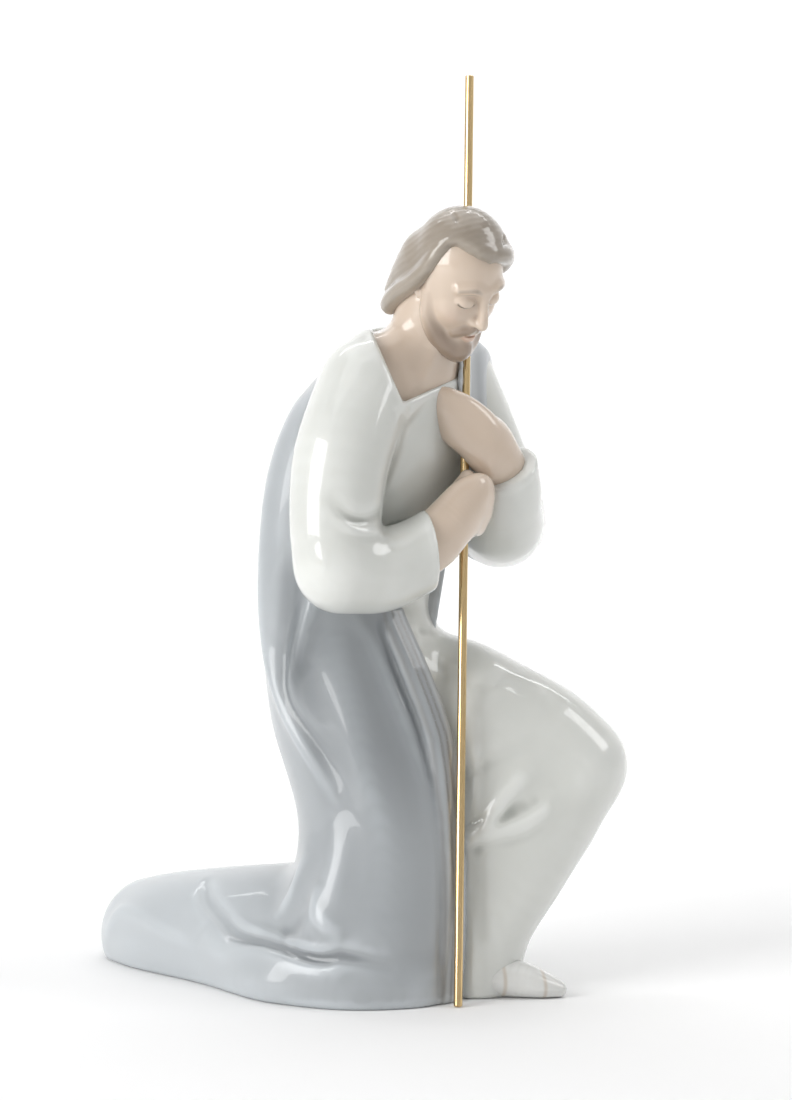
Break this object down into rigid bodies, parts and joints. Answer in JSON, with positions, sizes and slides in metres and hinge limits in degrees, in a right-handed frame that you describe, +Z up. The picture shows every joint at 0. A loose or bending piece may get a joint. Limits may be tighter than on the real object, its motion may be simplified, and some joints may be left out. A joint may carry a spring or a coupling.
{
  "type": "porcelain figurine",
  "caption": "Glazed porcelain figurine of a bearded person kneeling on one knee in tunic and cloak, with a loose metal staff that slides through both hands.",
  "frame": {"origin": "centre of the bounding box at the table surface", "axes": "+Z up, -Y towards the display front, +X towards the raised left knee"},
  "size_m": [0.1493, 0.0939, 0.2526],
  "materials": {
    "cloak_glaze": "gloss",
    "tunic_glaze": "gloss",
    "skin_glaze": "gloss",
    "hair_glaze": "gloss",
    "bisque": "unglazed",
    "gilt_brass": "polished"
  },
  "bodies": {
    "figure": {"cloak_skirt": "cloak_glaze", "cloak_train": "cloak_glaze", "cloak_back": "cloak_glaze", "cloak_border": "cloak_glaze", "torso": "tunic_glaze", "neck": "skin_glaze", "head": "skin_glaze", "hair": "hair_glaze", "right_sleeve": "tunic_glaze", "left_sleeve": "tunic_glaze", "right_hand": "skin_glaze", "left_hand": "skin_glaze", "tunic_thigh": "tunic_glaze", "tunic_lower": "tunic_glaze", "left_foot": "tunic_glaze", "base_slab": "bisque"},
    "staff": {"staff": "gilt_brass"}
  },
  "joints": [
    {"name": "staff_slide", "type": "slide", "parent": "figure", "child": "staff", "axis": [0.014, 0.1754, 0.9844], "range_m": [0, 0.17]}
  ]
}
